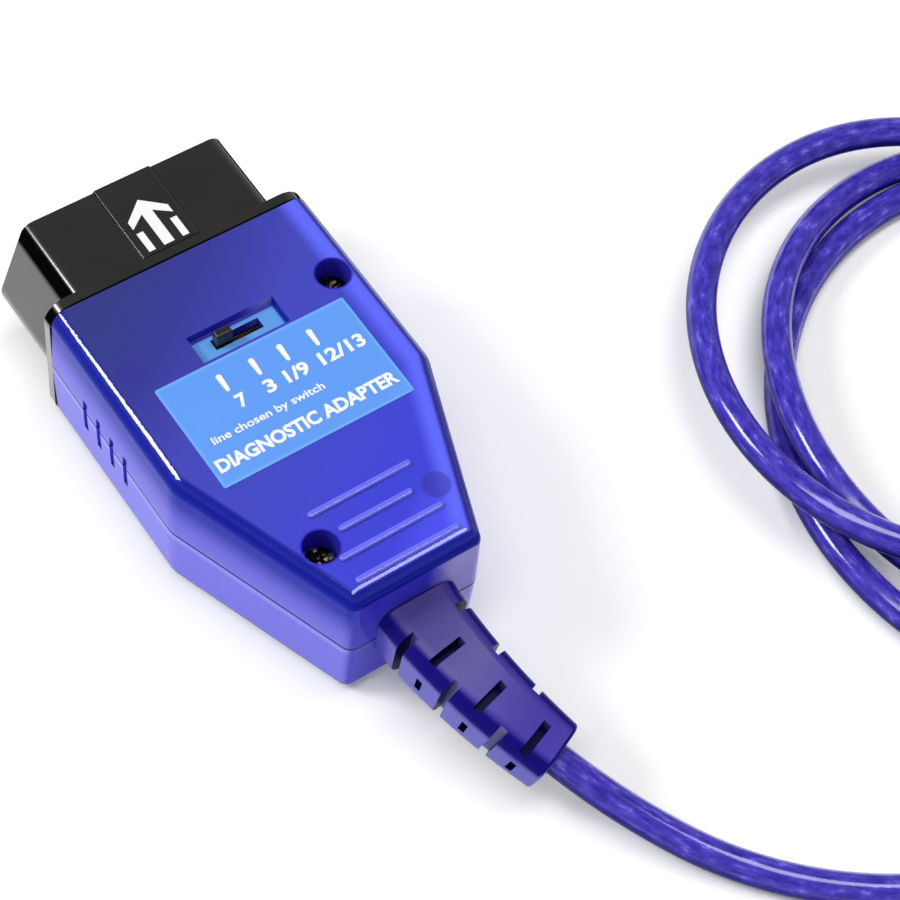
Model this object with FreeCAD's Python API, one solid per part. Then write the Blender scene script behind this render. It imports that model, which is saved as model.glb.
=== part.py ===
import FreeCAD, Part
import math
import os

# A four-way diagnostic adapter: a two-shell case with a sixteen-pin plug in front, a slide switch on top,
# a board inside and a USB lead behind. Millimetres. +Y is the way the plug goes in, +X is to its right,
# +Z is up. The origin is on the underside, at the middle of the case and plug together.

Vector = FreeCAD.Vector

# Case
CASE_WIDTH = 39.9
CASE_STRAIGHT = 30.4
CASE_TAPER = 26.9
REAR_WIDTH = 19.8
CASE_HEIGHT = 23.9
PARTING_HEIGHT = 12.3
WALL = 1.8
DRAFT = 0.35
TOP_ROUND = 2.4
BOTTOM_ROUND = 2.8
KINK_ROUND = 5.0
REAR_ROUND = 1.8
LIP_THICKNESS = 0.8
LIP_HEIGHT = 1.0
FIT_GAP = 0.1

# Screws, and the posts that line the two shells up
FRONT_BOSS_X = 15.5
FRONT_BOSS_BACK = 13.4
REAR_BOSS_X = 8.7
REAR_BOSS_FORWARD = 9.5
BOSS_RADIUS = 3.5
HEAD_RADIUS = 2.1
HEAD_HEIGHT = 1.6
HEAD_DEPTH = 3.0
COUNTERBORE_RADIUS = 2.45
SHANK_RADIUS = 1.1
SHANK_HOLE_RADIUS = 1.3
PILOT_RADIUS = 1.0
SCREW_LENGTH = 14.0
RECESS_RADIUS = 1.1
RECESS_DEPTH = 0.8
RECESS_ARM = 0.45
POST_RADIUS = 1.95
POST_REACH = 4.0

# Raised bars on the top and the finger grooves in the sides
BAR_WIDTH = 1.0
BAR_RISE = 0.5
BAR_ROUND = 0.35
BAR_HALF_LENGTHS = (7.3, 7.3, 5.1, 7.3)
BAR_FIRST = 3.0
BAR_PITCH = 3.65
GROOVE_COUNT = 4
GROOVE_FIRST = 8.7
GROOVE_PITCH = 3.4
GROOVE_WIDTH = 1.0
GROOVE_DEPTH = 0.5
GROOVE_LOW = 8.0
GROOVE_HIGH = 14.5

# Sixteen-pin plug: standard sizes, so they do not follow the case
PLUG_OUT = 15.2
FLANGE_THICKNESS = 1.4
FLANGE_ROUND = 3.4
PLUG_BOTTOM = 6.8
PLUG_HEIGHT = 15.8
PLUG_TOP_WIDTH = 30.2
PLUG_LEAN = 19.4
PLUG_TOP_ROUND = 2.0
PLUG_LOW_ROUND = 3.5
PLUG_WALL = 1.2
PLUG_MOUTH = 12.6
PLUG_NECK_INSET = 0.9
PLATE_THICKNESS = 2.0
PLATE_SIDE_GAP = 0.45
PLATE_TOP_GAP = 0.5
PLATE_BELOW = 2.4
PLATE_ROUND = 2.0
PAD_WIDTH = 8.9
PAD_RISE = 0.4
PAD_BACK = 2.1
PAD_ROUND = 0.35
BAR_SPAN = 26.0
BAR_THICKNESS = 2.0
BAR_RECESS = 2.5
PIN_COUNT = 8
PIN_PITCH = 4.0
PIN_ROW_OFFSET = 4.0
PIN_WIDTH = 1.5
PIN_THICKNESS = 0.8
PIN_RECESS = 5.0
PIN_TAIL = 3.2

# Circuit board and what sits on it
BOARD_THICKNESS = 1.6
BOARD_SIDE_GAP = 2.2
BOARD_FRONT_GAP = 0.6
BOARD_REAR_GAP = 5.5
BOARD_BOSS_GAP = 0.3
SUPPORT_RADIUS = 1.5
SUPPORT_X = 10.5
SUPPORT_BEHIND = 2.0

# Slide switch, its slot and its pocket
SWITCH_PITCH = 1.5
SWITCH_POSITIONS = 4
KNOB_LENGTH = 2.4
KNOB_WIDTH = 1.2
KNOB_PROUD = 1.0
KNOB_ROUND = 0.3
KNOB_SIDE_GAP = 0.25
KNOB_END_GAP = 0.2
SWITCH_BACK = 14.35
POCKET_LENGTH = 13.2
POCKET_WIDTH = 4.6
POCKET_DEPTH = 1.5
POCKET_FLOOR = 1.4
POCKET_RIM = 1.2
POCKET_BACK = 14.6
FRAME_SHEET = 0.3
FRAME_WIDTH = 4.6
FRAME_TOP_GAP = 0.5
FOOT_LENGTH = 6.8
FOOT_WIDTH = 3.5
FOOT_HEIGHT = 1.6
FOOT_END_GAP = 0.35
SLIDE_GAP = 0.2
INSULATOR_HEIGHT = 1.5
TERMINAL_COUNT = 5
TERMINAL_PITCH = 2.0

# Stickers
LABEL_WIDTH = 28.8
LABEL_LENGTH = 17.15
LABEL_BACK = 17.35
STICKER_THICKNESS = 0.12
LABEL_ROUND = 0.3
SLOT_STICKER_LENGTH = 12.6
SLOT_STICKER_WIDTH = 3.4

# Cable and strain relief
CABLE_DIAMETER = 4.4
EXIT_HEIGHT = 12.3
NECK_WIDTH = 8.4
NECK_HEIGHT = 7.8
COLLAR_WIDTH = 11.2
COLLAR_HEIGHT = 10.4
COLLAR_LENGTH = 2.0
RELIEF_LENGTH = 25.4
RELIEF_BASE_WIDTH = 11.8
RELIEF_BASE_HEIGHT = 10.6
RELIEF_END_WIDTH = 9.2
RELIEF_END_HEIGHT = 8.2
RELIEF_ROUND = 2.8
RELIEF_GAPS = 6
RELIEF_GAP_PITCH = 3.6
RELIEF_GAP_WIDTH = 1.2
RELIEF_SLOT_HALF = 2.6
RELIEF_SLOT_OFFSET = 1.5
RELIEF_CORE_WALL = 0.3
RELIEF_NOTCH_START = 3.3
RELIEF_END_ROUND = 0.5
WIRE_RADIUS = 0.4
WIRE_SPACING = 2.0
WIRE_REACH = 4.5

# The cable's way, measured from the middle of the case's rear end at floor height: out of the case to the coil,
# from the coil to the USB plug, and the middle and radius of each turn of the coil
LEAD_ROUTE = (
    (0.0, 4.95, 12.3), (0.0, -4.55, 12.2), (1.7, -14.55, 10.8), (5.2, -24.45, 7.9), (10.2, -34.75, 4.8),
    (17.2, -46.05, 2.4), (27.0, -56.65, 2.2), (40.0, -64.85, 2.2), (55.0, -69.35, 2.2), (71.0, -70.65, 2.2),
    (87.0, -69.15, 2.2), (103.0, -66.25, 2.2),
)
TAIL_ROUTE = (
    (125.5, -26.05, 8.2), (138.5, -15.55, 7.6), (149.0, -2.55, 5.4), (156.0, 11.95, 4.0), (159.5, 27.45, 4.0),
)
COIL_TURNS = ((103.8, -20.45, 45.5), (104.0, -12.05, 41.6), (93.0, -1.55, 37.6))
COIL_HEIGHT = 11.4
COIL_SIDE_ROOM = 0.6

# USB plug
BOOT_LENGTH = 10.0
BOOT_END = 6.4
BOOT_WIDTH = 10.0
USB_BODY_LENGTH = 20.0
USB_BODY_WIDTH = 15.8
USB_BODY_HEIGHT = 8.0
USB_BODY_ROUND = 1.2
USB_SHELL_WIDTH = 12.0
USB_SHELL_HEIGHT = 4.5
USB_SHELL_SHEET = 0.3
USB_SHELL_OUT = 12.0
USB_SHELL_IN = 5.0
USB_WINDOW = 2.2
USB_WINDOW_X = 2.9
USB_WINDOW_BACK = 7.2
TONGUE_HEIGHT = 1.85
TONGUE_RECESS = 0.7
CONTACT_WIDTH = 1.0
CONTACT_THICKNESS = 0.2
CONTACTS = ((-3.5, 9.0), (-1.0, 8.0), (1.0, 8.0), (3.5, 9.0))

# Worked out from the sizes above
READER_LENGTH = PLUG_OUT + CASE_STRAIGHT + CASE_TAPER
TIP_Y = READER_LENGTH / 2
FRONT_Y = TIP_Y - PLUG_OUT
KINK_Y = FRONT_Y - CASE_STRAIGHT
REAR_Y = KINK_Y - CASE_TAPER
PLUG_TOP = PLUG_BOTTOM + PLUG_HEIGHT
PLUG_MIDDLE = PLUG_BOTTOM + PLUG_HEIGHT / 2
PLATE_FRONT = FRONT_Y - WALL - DRAFT - FIT_GAP
PLATE_BACK = PLATE_FRONT - PLATE_THICKNESS
BOARD_BOTTOM = PLUG_MIDDLE - BOARD_THICKNESS / 2
BOARD_TOP = PLUG_MIDDLE + BOARD_THICKNESS / 2
FRONT_BOSS_Y = FRONT_Y - FRONT_BOSS_BACK
REAR_BOSS_Y = REAR_Y + REAR_BOSS_FORWARD
SCREW_PLACES = ((FRONT_BOSS_X, FRONT_BOSS_Y), (-REAR_BOSS_X, REAR_BOSS_Y))
POST_PLACES = ((-FRONT_BOSS_X, FRONT_BOSS_Y), (REAR_BOSS_X, REAR_BOSS_Y))
HEAD_SEAT = CASE_HEIGHT - HEAD_DEPTH - HEAD_HEIGHT
SWITCH_Y = FRONT_Y - SWITCH_BACK
POCKET_Y = FRONT_Y - POCKET_BACK
POCKET_TOP = CASE_HEIGHT - POCKET_DEPTH
POCKET_UNDERSIDE = POCKET_TOP - POCKET_FLOOR
SWITCH_TRAVEL = SWITCH_PITCH * (SWITCH_POSITIONS - 1)
SLOT_LENGTH = SWITCH_TRAVEL + KNOB_LENGTH + 2 * KNOB_END_GAP
SLOT_WIDTH = KNOB_WIDTH + 2 * KNOB_SIDE_GAP
FRAME_LENGTH = FOOT_LENGTH + SWITCH_TRAVEL + 2 * (FRAME_SHEET + FOOT_END_GAP)
FRAME_TOP = POCKET_UNDERSIDE - FRAME_TOP_GAP
SUPPORT_Y = KINK_Y + SUPPORT_BEHIND + BOSS_RADIUS
LEAD_POINTS = [(x, REAR_Y + y, z) for x, y, z in LEAD_ROUTE]
TAIL_POINTS = [(x, REAR_Y + y, z) for x, y, z in TAIL_ROUTE]
COIL_CIRCLES = [(x, REAR_Y + y, radius) for x, y, radius in COIL_TURNS]
PLACES = {}


def box(x_low, x_high, y_low, y_high, z_low, z_high):
    """A block between two opposite corners."""
    corner = Vector(x_low, y_low, z_low)
    return Part.makeBox(x_high - x_low, y_high - y_low, z_high - z_low, corner)


def block(x, y, z_low, length, width, height):
    """A block that stands on z_low, centred on x and y; length is along X and width along Y."""
    return box(x - length / 2, x + length / 2, y - width / 2, y + width / 2, z_low, z_low + height)


def rod(x, y, z_low, z_high, radius):
    """An upright cylinder."""
    return Part.makeCylinder(radius, z_high - z_low, Vector(x, y, z_low))


def join(shapes):
    """One solid out of several that touch."""
    return shapes[0].multiFuse(shapes[1:]).removeSplitter()


def save(node, solids):
    """Write one sub-part, made of one or more separate solids."""
    shape = Part.makeCompound(solids) if len(solids) > 1 else solids[0]
    shape.exportStep("parts/" + node + ".step")
    PLACES[node] = shape


def moved_line(start, end, inset):
    """The line from start to end, moved to its left by inset: a point on it, and its direction."""
    length = math.hypot(end[0] - start[0], end[1] - start[1])
    way = ((end[0] - start[0]) / length, (end[1] - start[1]) / length)
    return (start[0] - way[1] * inset, start[1] + way[0] * inset), way


def inset_corners(corners, inset):
    """The corners of a polygon, listed anticlockwise, after each side moves inwards."""
    moved = []
    for index, corner in enumerate(corners):
        first, first_way = moved_line(corners[index - 1], corner, inset)
        second, second_way = moved_line(corner, corners[(index + 1) % len(corners)], inset)
        cross = first_way[0] * second_way[1] - first_way[1] * second_way[0]
        along = (second[0] - first[0]) * second_way[1] - (second[1] - first[1]) * second_way[0]
        reach = along / cross
        moved.append((first[0] + first_way[0] * reach, first[1] + first_way[1] * reach))
    return moved


def rounded_wire(corners, radii, lift):
    """A closed wire through a polygon's corners with an arc at each; lift turns a flat point into a Vector."""
    curves = []
    starts = []
    ends = []
    for index, corner in enumerate(corners):
        before = corners[index - 1]
        after = corners[(index + 1) % len(corners)]
        back = Vector(before[0] - corner[0], before[1] - corner[1], 0).normalize()
        ahead = Vector(after[0] - corner[0], after[1] - corner[1], 0).normalize()
        half_angle = back.getAngle(ahead) / 2
        radius = radii[index]
        reach = radius / math.tan(half_angle)
        inward = (back + ahead).normalize()
        depth = radius / math.sin(half_angle) - radius
        here = Vector(corner[0], corner[1], 0)
        start = here + back * reach
        middle = here + inward * depth
        end = here + ahead * reach
        starts.append(lift(start.x, start.y))
        ends.append(lift(end.x, end.y))
        curves.append(Part.Arc(starts[-1], lift(middle.x, middle.y), ends[-1]) if radius else None)
    edges = []
    for index, curve in enumerate(curves):
        if curve:
            edges.append(curve.toShape())
        edges.append(Part.LineSegment(ends[index], starts[(index + 1) % len(starts)]).toShape())
    return Part.Wire(edges)


def case_wire(inset, height):
    """The case's outline in plan, moved inwards by inset, at a height."""
    half = CASE_WIDTH / 2
    rear = REAR_WIDTH / 2
    corners = ((half, FRONT_Y), (-half, FRONT_Y), (-half, KINK_Y), (-rear, REAR_Y), (rear, REAR_Y), (half, KINK_Y))
    rear_round = max(REAR_ROUND - inset, 0.4)
    kink_round = max(KINK_ROUND - inset, 1.0)
    radii = (0, 0, kink_round, rear_round, rear_round, kink_round)
    return rounded_wire(inset_corners(corners, inset), radii, lambda x, y: Vector(x, y, height))


def case_block(low_inset, z_low, high_inset, z_high):
    """A solid with the case's outline, which may lean between its two ends."""
    return Part.makeLoft([case_wire(low_inset, z_low), case_wire(high_inset, z_high)], True, True)


def plug_wire(inset, y):
    """The plug's D-shaped outline, wide side down, moved inwards by inset."""
    lean = math.tan(math.radians(PLUG_LEAN))
    top = PLUG_TOP_WIDTH / 2
    low = top + PLUG_HEIGHT * lean
    corners = ((low, PLUG_BOTTOM), (top, PLUG_TOP), (-top, PLUG_TOP), (-low, PLUG_BOTTOM))
    low_round = max(PLUG_LOW_ROUND - inset, 0.5)
    top_round = max(PLUG_TOP_ROUND - inset, 0.5)
    radii = (low_round, top_round, top_round, low_round)
    return rounded_wire(inset_corners(corners, inset), radii, lambda x, z: Vector(x, y, z))


def plug_block(inset, y_low, y_high):
    """A bar with the plug's outline."""
    return Part.Face(plug_wire(inset, y_low)).extrude(Vector(0, y_high - y_low, 0))


def rounded_bar(width, height, radius, y_low, y_high, z_middle):
    """A bar along Y with a rounded rectangular section."""
    corners = ((width / 2, -height / 2), (width / 2, height / 2), (-width / 2, height / 2), (-width / 2, -height / 2))
    wire = rounded_wire(corners, (radius,) * 4, lambda x, z: Vector(x, y_low, z_middle + z))
    return Part.Face(wire).extrude(Vector(0, y_high - y_low, 0))


def edges_at(solid, height):
    """The edges that lie at a height, without the one along the front face."""
    found = []
    for edge in solid.Edges:
        level = all(abs(vertex.Z - height) < 1e-5 for vertex in edge.Vertexes)
        front = all(abs(vertex.Y - FRONT_Y) < DRAFT + 1e-5 for vertex in edge.Vertexes)
        if level and not front:
            found.append(edge)
    return found


def lip(clearance):
    """The tongue that stands on the lower shell's rim, grown by a clearance."""
    z_low = PARTING_HEIGHT
    z_high = PARTING_HEIGHT + LIP_HEIGHT + clearance
    outside = case_block(WALL - LIP_THICKNESS - clearance, z_low, WALL - LIP_THICKNESS - clearance, z_high)
    inside = case_block(WALL + clearance, z_low, WALL + clearance, z_high)
    return outside.cut(inside)


def side_grooves():
    """The finger grooves in both side walls, as tools to cut with."""
    tools = []
    for side in (-1, 1):
        wall_x = side * CASE_WIDTH / 2
        for index in range(GROOVE_COUNT):
            y = FRONT_Y - GROOVE_FIRST - index * GROOVE_PITCH
            height = GROOVE_HIGH - GROOVE_LOW
            tools.append(block(wall_x, y, GROOVE_LOW, 2 * GROOVE_DEPTH, GROOVE_WIDTH, height))
    return tools


def end_openings():
    """What both shells leave free: the plug's neck in front and the strain relief's neck behind."""
    front = plug_block(PLUG_NECK_INSET - FIT_GAP, PLATE_FRONT - FIT_GAP, FRONT_Y + 1)
    width = NECK_WIDTH + 2 * FIT_GAP
    height = NECK_HEIGHT + 2 * FIT_GAP
    rear = rounded_bar(width, height, RELIEF_ROUND, REAR_Y - 1, REAR_Y + WALL + DRAFT + FIT_GAP, EXIT_HEIGHT)
    return [front, rear]


def plate_ribs(z_low, z_high):
    """Upright ribs behind the plug's plate, one on each side wall."""
    half = CASE_WIDTH / 2
    tip = half - WALL - BOARD_SIDE_GAP + 2 * FIT_GAP
    y_high = PLATE_BACK - FIT_GAP
    return [box(side * tip if side > 0 else -half + WALL / 2, half - WALL / 2 if side > 0 else -tip,
                y_high - 1.2, y_high, z_low, z_high) for side in (-1, 1)]


def grip_bars():
    """The raised bars across the top, behind the label."""
    bars = []
    half_width = BAR_WIDTH / 2
    for index, half_length in enumerate(BAR_HALF_LENGTHS):
        y = REAR_Y + BAR_FIRST + index * BAR_PITCH
        z_low = CASE_HEIGHT - WALL / 2
        z_high = CASE_HEIGHT + BAR_RISE
        pieces = [box(-half_length, half_length, y - half_width, y + half_width, z_low, z_high)]
        pieces += [rod(end, y, z_low, z_high, half_width) for end in (-half_length, half_length)]
        bar = join(pieces)
        top_edges = [edge for edge in bar.Edges if edge.BoundBox.ZMin > z_high - 1e-5]
        bars.append(bar.makeFillet(BAR_ROUND, top_edges))
    return bars


def upper_shell():
    """The top half: bosses for the screws, posts, the switch's pocket and the raised bars."""
    outside = case_block(0, PARTING_HEIGHT, DRAFT, CASE_HEIGHT)
    outside = outside.makeFillet(TOP_ROUND, edges_at(outside, CASE_HEIGHT))
    cavity = case_block(WALL, PARTING_HEIGHT - 1, WALL + DRAFT, CASE_HEIGHT - WALL)
    inner = []
    for x, y in SCREW_PLACES:
        inner.append(rod(x, y, PARTING_HEIGHT, CASE_HEIGHT, BOSS_RADIUS))
    for x, y in POST_PLACES:
        inner.append(rod(x, y, PARTING_HEIGHT, CASE_HEIGHT, POST_RADIUS))
    for side in (-1, 1):
        inner.append(rod(side * SUPPORT_X, SUPPORT_Y, BOARD_TOP + FIT_GAP, CASE_HEIGHT - WALL / 2, SUPPORT_RADIUS))
    inner.append(block(0, POCKET_Y, POCKET_UNDERSIDE, POCKET_LENGTH + 2 * POCKET_RIM,
                       POCKET_WIDTH + 2 * POCKET_RIM, CASE_HEIGHT - WALL / 2 - POCKET_UNDERSIDE))
    inner += plate_ribs(PARTING_HEIGHT, CASE_HEIGHT - WALL / 2)
    inner = [piece.common(outside) for piece in inner]
    shell = join([outside.cut(cavity)] + inner + grip_bars())
    shell = shell.cut(lip(FIT_GAP))
    for x, y in POST_PLACES:
        shell = shell.fuse(rod(x, y, PARTING_HEIGHT - POST_REACH, PARTING_HEIGHT + LIP_HEIGHT, POST_RADIUS))
    tools = end_openings() + side_grooves()
    tools.append(block(0, POCKET_Y, POCKET_TOP, POCKET_LENGTH, POCKET_WIDTH, POCKET_DEPTH + 1))
    tools.append(block(0, SWITCH_Y, POCKET_UNDERSIDE - 1, SLOT_LENGTH, SLOT_WIDTH, POCKET_FLOOR + 2))
    for x, y in SCREW_PLACES:
        tools.append(rod(x, y, HEAD_SEAT, CASE_HEIGHT + 1, COUNTERBORE_RADIUS))
        tools.append(rod(x, y, PARTING_HEIGHT - 1, HEAD_SEAT, SHANK_HOLE_RADIUS))
    save("upper_shell", [shell.cut(Part.makeCompound(tools)).removeSplitter().Solids[0]])


def lower_shell():
    """The bottom half: bosses the screws bite into, sockets for the posts and supports for the board."""
    outside = case_block(DRAFT, 0, 0, PARTING_HEIGHT)
    outside = outside.makeFillet(BOTTOM_ROUND, edges_at(outside, 0))
    cavity = case_block(WALL + DRAFT, WALL, WALL, PARTING_HEIGHT + 1)
    inner = [rod(x, y, 0, PARTING_HEIGHT, BOSS_RADIUS) for x, y in SCREW_PLACES + POST_PLACES]
    inner += plate_ribs(WALL / 2, PARTING_HEIGHT)
    inner = [piece.common(outside) for piece in inner]
    for side in (-1, 1):
        inner.append(rod(side * SUPPORT_X, SUPPORT_Y, WALL / 2, BOARD_BOTTOM, SUPPORT_RADIUS))
    shell = join([outside.cut(cavity), lip(0)] + inner)
    tools = end_openings() + side_grooves()
    for x, y in SCREW_PLACES:
        tools.append(rod(x, y, HEAD_SEAT - SCREW_LENGTH - 1, PARTING_HEIGHT + 1, PILOT_RADIUS))
    for x, y in POST_PLACES:
        depth = PARTING_HEIGHT - POST_REACH - 2 * FIT_GAP
        tools.append(rod(x, y, depth, PARTING_HEIGHT + LIP_HEIGHT + 1, POST_RADIUS + FIT_GAP))
    tools += [rod(x, y, PARTING_HEIGHT, PARTING_HEIGHT + LIP_HEIGHT + 1, BOSS_RADIUS + FIT_GAP)
              for x, y in SCREW_PLACES]
    save("lower_shell", [shell.cut(Part.makeCompound(tools)).removeSplitter().Solids[0]])


def case_screws():
    """Two pan-headed self-tapping screws with a cross recess."""
    screws = []
    for x, y in SCREW_PLACES:
        head = rod(x, y, HEAD_SEAT, HEAD_SEAT + HEAD_HEIGHT, HEAD_RADIUS)
        top_edges = [edge for edge in head.Edges if abs(edge.BoundBox.ZMin - HEAD_SEAT - HEAD_HEIGHT) < 1e-5]
        head = head.makeFillet(HEAD_HEIGHT / 2, top_edges)
        shank = rod(x, y, HEAD_SEAT - SCREW_LENGTH, HEAD_SEAT, SHANK_RADIUS)
        screw = join([head, shank])
        z_low = HEAD_SEAT + HEAD_HEIGHT - RECESS_DEPTH
        screw = screw.cut(block(x, y, z_low, 2 * RECESS_RADIUS, RECESS_ARM, RECESS_DEPTH + 1))
        screws.append(screw.cut(block(x, y, z_low, RECESS_ARM, 2 * RECESS_RADIUS, RECESS_DEPTH + 1)))
    save("case_screws", screws)


def pin_row(row):
    """One row of flat pins; row is 1 for the upper one. Each tail turns towards the board."""
    z = PLUG_MIDDLE + row * PIN_ROW_OFFSET
    board = BOARD_TOP if row > 0 else BOARD_BOTTOM
    back = PLATE_BACK - PIN_TAIL
    pins = []
    for index in range(PIN_COUNT):
        x = (index - (PIN_COUNT - 1) / 2) * PIN_PITCH
        half = PIN_WIDTH / 2
        flat = box(x - half, x + half, back, TIP_Y - PIN_RECESS, z - PIN_THICKNESS / 2, z + PIN_THICKNESS / 2)
        tip_edges = [edge for edge in flat.Edges if edge.BoundBox.YMin > TIP_Y - PIN_RECESS - 1e-5]
        flat = flat.makeChamfer(PIN_THICKNESS / 3, tip_edges)
        leg = box(x - half, x + half, back, back + PIN_THICKNESS, min(z, board), max(z, board))
        pins.append(join([flat, leg]))
    return pins


def plug_housing(pins):
    """The black moulding: a shroud round the pins, a bar between the rows and a plate held by the shells."""
    shroud = plug_block(0, FRONT_Y, TIP_Y)
    flange = rounded_bar(CASE_WIDTH - FIT_GAP, CASE_HEIGHT - FIT_GAP, FLANGE_ROUND, FRONT_Y,
                         FRONT_Y + FLANGE_THICKNESS, CASE_HEIGHT / 2)
    mouth = plug_block(PLUG_WALL, TIP_Y - PLUG_MOUTH, TIP_Y + 1)
    neck = plug_block(PLUG_NECK_INSET, PLATE_FRONT, FRONT_Y)
    plate_half = CASE_WIDTH / 2 - WALL - PLATE_SIDE_GAP - DRAFT / 2
    z_low = PLUG_BOTTOM - PLATE_BELOW
    z_high = CASE_HEIGHT - WALL - PLATE_TOP_GAP
    plate = rounded_bar(2 * plate_half, z_high - z_low, PLATE_ROUND, PLATE_BACK, PLATE_FRONT, (z_low + z_high) / 2)
    half_bar = BAR_THICKNESS / 2
    bar = box(-BAR_SPAN / 2, BAR_SPAN / 2, TIP_Y - PLUG_MOUTH - 0.5, TIP_Y - BAR_RECESS,
              PLUG_MIDDLE - half_bar, PLUG_MIDDLE + half_bar)
    pad = box(-PAD_WIDTH / 2, PAD_WIDTH / 2, FRONT_Y + PAD_BACK, TIP_Y, PLUG_TOP - PLUG_WALL / 2, PLUG_TOP + PAD_RISE)
    pad_edges = [edge for edge in pad.Edges if edge.BoundBox.ZMin > PLUG_TOP and edge.BoundBox.YLength > 1]
    pad = pad.makeFillet(PAD_ROUND, pad_edges)
    housing = join([shroud.fuse(flange).cut(mouth), neck, plate, bar, pad])
    save("plug_housing", [housing.cut(Part.makeCompound(pins)).Solids[0]])


def terminals():
    """The switch's five terminals: a contact face on the insulator and a leg through the board."""
    pieces = []
    face_low = BOARD_TOP + INSULATOR_HEIGHT
    for index in range(TERMINAL_COUNT):
        x = (index - (TERMINAL_COUNT - 1) / 2) * TERMINAL_PITCH
        face = block(x, SWITCH_Y, face_low, 1.0, 2.4, FRAME_SHEET)
        leg_low = BOARD_BOTTOM - 0.8
        leg = block(x, SWITCH_Y, leg_low, 0.5, 0.8, face_low - leg_low)
        pieces.append(join([face, leg]))
    return pieces


def slide_switch(legs):
    """Frame, insulator, slider and wiper of the four-way switch; the slider is at its left-hand stop."""
    inside_length = FRAME_LENGTH - 2 * FRAME_SHEET
    inside_width = FRAME_WIDTH - 2 * FRAME_SHEET
    frame = block(0, SWITCH_Y, BOARD_TOP, FRAME_LENGTH, FRAME_WIDTH, FRAME_TOP - BOARD_TOP)
    hollow_height = FRAME_TOP - FRAME_SHEET - BOARD_TOP
    frame = frame.cut(block(0, SWITCH_Y, BOARD_TOP - 1, inside_length, inside_width, hollow_height + 1))
    frame = frame.cut(block(0, SWITCH_Y, FRAME_TOP - 1, SLOT_LENGTH, SLOT_WIDTH, 2))
    save("switch_frame", [frame])
    insulator = block(0, SWITCH_Y, BOARD_TOP, inside_length, inside_width, INSULATOR_HEIGHT)
    save("switch_base", [insulator.cut(Part.makeCompound(legs))])
    save("switch_terminals", legs)
    rest = -SWITCH_TRAVEL / 2
    foot_high = FRAME_TOP - FRAME_SHEET - SLIDE_GAP
    foot_low = foot_high - FOOT_HEIGHT
    foot = block(rest, SWITCH_Y, foot_low, FOOT_LENGTH, FOOT_WIDTH, FOOT_HEIGHT)
    knob_top = CASE_HEIGHT + KNOB_PROUD
    knob = block(rest, SWITCH_Y, foot_high - 0.5, KNOB_LENGTH, KNOB_WIDTH, knob_top - foot_high + 0.5)
    knob_edges = [edge for edge in knob.Edges if edge.BoundBox.ZMin > knob_top - 1e-5]
    save("switch_slider", [join([foot, knob.makeFillet(KNOB_ROUND, knob_edges)])])
    dome_low = BOARD_TOP + INSULATOR_HEIGHT + FRAME_SHEET + SLIDE_GAP
    strip = block(rest, SWITCH_Y, foot_low - FRAME_SHEET, 2 * TERMINAL_PITCH, 1.6, FRAME_SHEET)
    domes = [rod(rest + side * TERMINAL_PITCH / 2, SWITCH_Y, dome_low, foot_low - FRAME_SHEET / 2, 0.35)
             for side in (-1, 1)]
    save("switch_wiper", [join([strip] + domes)])


def circuit_board(legs):
    """The board: it follows the case's outline, goes round the bosses and stops behind the plug's plate."""
    inset = WALL + BOARD_SIDE_GAP
    board = case_block(inset, BOARD_BOTTOM, inset, BOARD_TOP)
    half = CASE_WIDTH
    front = PLATE_BACK - BOARD_FRONT_GAP
    rear = REAR_Y + WALL + BOARD_REAR_GAP
    board = board.common(box(-half, half, rear, front, BOARD_BOTTOM, BOARD_TOP))
    holes = [rod(x, y, BOARD_BOTTOM - 1, BOARD_TOP + 1, BOSS_RADIUS + BOARD_BOSS_GAP)
             for x, y in SCREW_PLACES + POST_PLACES]
    save("circuit_board", [board.cut(Part.makeCompound(holes + legs)).Solids[0]])


def leaded_chip(node, x, y, length, width, height, lead_count, pitch):
    """A flat chip with a row of leads along each long side."""
    body = block(x, y, BOARD_TOP + FIT_GAP, length, width, height)
    pieces = [body]
    for side in (-1, 1):
        for index in range(lead_count):
            lead_x = x + (index - (lead_count - 1) / 2) * pitch
            pieces.append(block(lead_x, y + side * (width / 2 + 0.4), BOARD_TOP, pitch / 2.6, 1.0, height / 2))
    save(node, [join(pieces)])


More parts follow.
